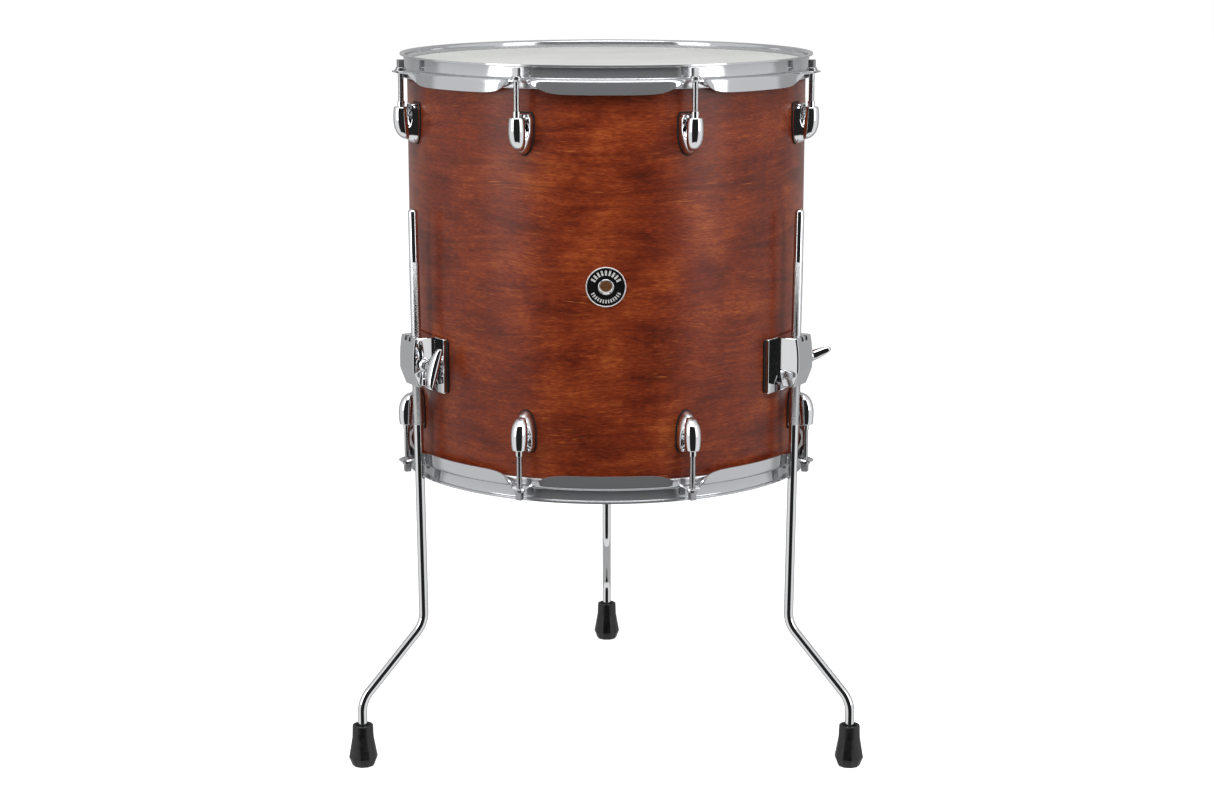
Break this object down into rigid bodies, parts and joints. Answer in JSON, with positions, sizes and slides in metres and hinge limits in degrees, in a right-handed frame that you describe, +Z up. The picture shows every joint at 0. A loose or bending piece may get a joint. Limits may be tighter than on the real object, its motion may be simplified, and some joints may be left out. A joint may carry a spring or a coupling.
{
  "type": "floor tom drum",
  "caption": "Floor tom: stained wooden shell with two coated heads, flanged chrome hoops, bullet lugs with tension rods, and bent legs in clamp brackets.",
  "frame": {"origin": "on the floor, under the drum, on the axis of its shell", "axes": "+Z up along the shell's axis; -Y is the front with the badge; the left leg is on -X, the right leg on +X and the rear leg on +Y"},
  "size_m": [0.5228, 0.5106, 0.7107],
  "materials": {
    "stained_wood": "satin stained lacquer over bent plywood",
    "head_film": "coated polyester film, matte white",
    "aluminium_hoop": "rolled channel, plain",
    "badge_metal": "stamped metal, black field and bright rim",
    "gasket_rubber": "moulded, matte black",
    "plated_steel": "zinc and chrome plated hardware",
    "chrome_plate": "bright chrome plate",
    "foot_rubber": "moulded, black, slightly glossy"
  },
  "bodies": {
    "drum": {"shell": "stained_wood", "vent_badge": "badge_metal", "vent_grommet": "chrome_plate", "batter_head_film": "head_film", "resonant_head_film": "head_film", "batter_flesh_hoop": "aluminium_hoop", "resonant_flesh_hoop": "aluminium_hoop", "top_hoop": "chrome_plate", "bottom_hoop": "chrome_plate", "lug_gaskets": "gasket_rubber", "lug_inserts": "plated_steel", "rod_washers": "plated_steel", "lug_screws": "plated_steel", "bracket_gaskets": "gasket_rubber", "bracket_screws": "plated_steel", "top_lug_1": "chrome_plate", "top_lug_2": "chrome_plate", "top_lug_3": "chrome_plate", "top_lug_4": "chrome_plate", "top_lug_5": "chrome_plate", "top_lug_6": "chrome_plate", "top_lug_7": "chrome_plate", "top_lug_8": "chrome_plate", "bottom_lug_1": "chrome_plate", "bottom_lug_2": "chrome_plate", "bottom_lug_3": "chrome_plate", "bottom_lug_4": "chrome_plate", "bottom_lug_5": "chrome_plate", "bottom_lug_6": "chrome_plate", "bottom_lug_7": "chrome_plate", "bottom_lug_8": "chrome_plate", "leg_bracket_left": "chrome_plate", "leg_bracket_right": "chrome_plate", "leg_bracket_rear": "chrome_plate"},
    "top_tension_rod_1": {"top_tension_rod_1": "plated_steel"},
    "top_tension_rod_2": {"top_tension_rod_2": "plated_steel"},
    "top_tension_rod_3": {"top_tension_rod_3": "plated_steel"},
    "top_tension_rod_4": {"top_tension_rod_4": "plated_steel"},
    "top_tension_rod_5": {"top_tension_rod_5": "plated_steel"},
    "top_tension_rod_6": {"top_tension_rod_6": "plated_steel"},
    "top_tension_rod_7": {"top_tension_rod_7": "plated_steel"},
    "top_tension_rod_8": {"top_tension_rod_8": "plated_steel"},
    "bottom_tension_rod_1": {"bottom_tension_rod_1": "plated_steel"},
    "bottom_tension_rod_2": {"bottom_tension_rod_2": "plated_steel"},
    "bottom_tension_rod_3": {"bottom_tension_rod_3": "plated_steel"},
    "bottom_tension_rod_4": {"bottom_tension_rod_4": "plated_steel"},
    "bottom_tension_rod_5": {"bottom_tension_rod_5": "plated_steel"},
    "bottom_tension_rod_6": {"bottom_tension_rod_6": "plated_steel"},
    "bottom_tension_rod_7": {"bottom_tension_rod_7": "plated_steel"},
    "bottom_tension_rod_8": {"bottom_tension_rod_8": "plated_steel"},
    "leg_left": {"leg_rod_left": "chrome_plate", "rubber_foot_left": "foot_rubber"},
    "wing_screw_left": {"wing_screw_left": "chrome_plate"},
    "leg_right": {"leg_rod_right": "chrome_plate", "rubber_foot_right": "foot_rubber"},
    "wing_screw_right": {"wing_screw_right": "chrome_plate"},
    "leg_rear": {"leg_rod_rear": "chrome_plate", "rubber_foot_rear": "foot_rubber"},
    "wing_screw_rear": {"wing_screw_rear": "chrome_plate"}
  },
  "joints": [
    {"name": "top_tension_rod_1_turn", "type": "hinge", "parent": "drum", "child": "top_tension_rod_1", "pos_m": [0.08362, -0.20187, 0.677], "axis": [0, 0, 1], "continuous": true},
    {"name": "top_tension_rod_2_turn", "type": "hinge", "parent": "drum", "child": "top_tension_rod_2", "pos_m": [0.20187, -0.08362, 0.677], "axis": [0, 0, 1], "continuous": true},
    {"name": "top_tension_rod_3_turn", "type": "hinge", "parent": "drum", "child": "top_tension_rod_3", "pos_m": [0.20187, 0.08362, 0.677], "axis": [0, 0, 1], "continuous": true},
    {"name": "top_tension_rod_4_turn", "type": "hinge", "parent": "drum", "child": "top_tension_rod_4", "pos_m": [0.08362, 0.20187, 0.677], "axis": [0, 0, 1], "continuous": true},
    {"name": "top_tension_rod_5_turn", "type": "hinge", "parent": "drum", "child": "top_tension_rod_5", "pos_m": [-0.08362, 0.20187, 0.677], "axis": [0, 0, 1], "continuous": true},
    {"name": "top_tension_rod_6_turn", "type": "hinge", "parent": "drum", "child": "top_tension_rod_6", "pos_m": [-0.20187, 0.08362, 0.677], "axis": [0, 0, 1], "continuous": true},
    {"name": "top_tension_rod_7_turn", "type": "hinge", "parent": "drum", "child": "top_tension_rod_7", "pos_m": [-0.20187, -0.08362, 0.677], "axis": [0, 0, 1], "continuous": true},
    {"name": "top_tension_rod_8_turn", "type": "hinge", "parent": "drum", "child": "top_tension_rod_8", "pos_m": [-0.08362, -0.20187, 0.677], "axis": [0, 0, 1], "continuous": true},
    {"name": "bottom_tension_rod_1_turn", "type": "hinge", "parent": "drum", "child": "bottom_tension_rod_1", "pos_m": [0.08362, -0.20187, 0.3242], "axis": [0, 0, 1], "continuous": true},
    {"name": "bottom_tension_rod_2_turn", "type": "hinge", "parent": "drum", "child": "bottom_tension_rod_2", "pos_m": [0.20187, -0.08362, 0.3242], "axis": [0, 0, 1], "continuous": true},
    {"name": "bottom_tension_rod_3_turn", "type": "hinge", "parent": "drum", "child": "bottom_tension_rod_3", "pos_m": [0.20187, 0.08362, 0.3242], "axis": [0, 0, 1], "continuous": true},
    {"name": "bottom_tension_rod_4_turn", "type": "hinge", "parent": "drum", "child": "bottom_tension_rod_4", "pos_m": [0.08362, 0.20187, 0.3242], "axis": [0, 0, 1], "continuous": true},
    {"name": "bottom_tension_rod_5_turn", "type": "hinge", "parent": "drum", "child": "bottom_tension_rod_5", "pos_m": [-0.08362, 0.20187, 0.3242], "axis": [0, 0, 1], "continuous": true},
    {"name": "bottom_tension_rod_6_turn", "type": "hinge", "parent": "drum", "child": "bottom_tension_rod_6", "pos_m": [-0.20187, 0.08362, 0.3242], "axis": [0, 0, 1], "continuous": true},
    {"name": "bottom_tension_rod_7_turn", "type": "hinge", "parent": "drum", "child": "bottom_tension_rod_7", "pos_m": [-0.20187, -0.08362, 0.3242], "axis": [0, 0, 1], "continuous": true},
    {"name": "bottom_tension_rod_8_turn", "type": "hinge", "parent": "drum", "child": "bottom_tension_rod_8", "pos_m": [-0.08362, -0.20187, 0.3242], "axis": [0, 0, 1], "continuous": true},
    {"name": "leg_left_slide", "type": "slide", "parent": "drum", "child": "leg_left", "axis": [-0.0102, -0.0059, 0.9999], "range_m": [-0.074, 0.2]},
    {"name": "wing_screw_left_turn", "type": "hinge", "parent": "drum", "child": "wing_screw_left", "pos_m": [-0.18853, -0.10885, 0.411], "axis": [0.5, -0.866, 0], "range_deg": [0, 360]},
    {"name": "leg_right_slide", "type": "slide", "parent": "drum", "child": "leg_right", "axis": [0.0102, -0.0059, 0.9999], "range_m": [-0.074, 0.2]},
    {"name": "wing_screw_right_turn", "type": "hinge", "parent": "drum", "child": "wing_screw_right", "pos_m": [0.18853, -0.10885, 0.411], "axis": [0.5, 0.866, 0], "range_deg": [0, 360]},
    {"name": "leg_rear_slide", "type": "slide", "parent": "drum", "child": "leg_rear", "axis": [0, 0.0118, 0.9999], "range_m": [-0.074, 0.2]},
    {"name": "wing_screw_rear_turn", "type": "hinge", "parent": "drum", "child": "wing_screw_rear", "pos_m": [0, 0.2177, 0.411], "axis": [-1, 0, 0], "range_deg": [0, 360]}
  ]
}
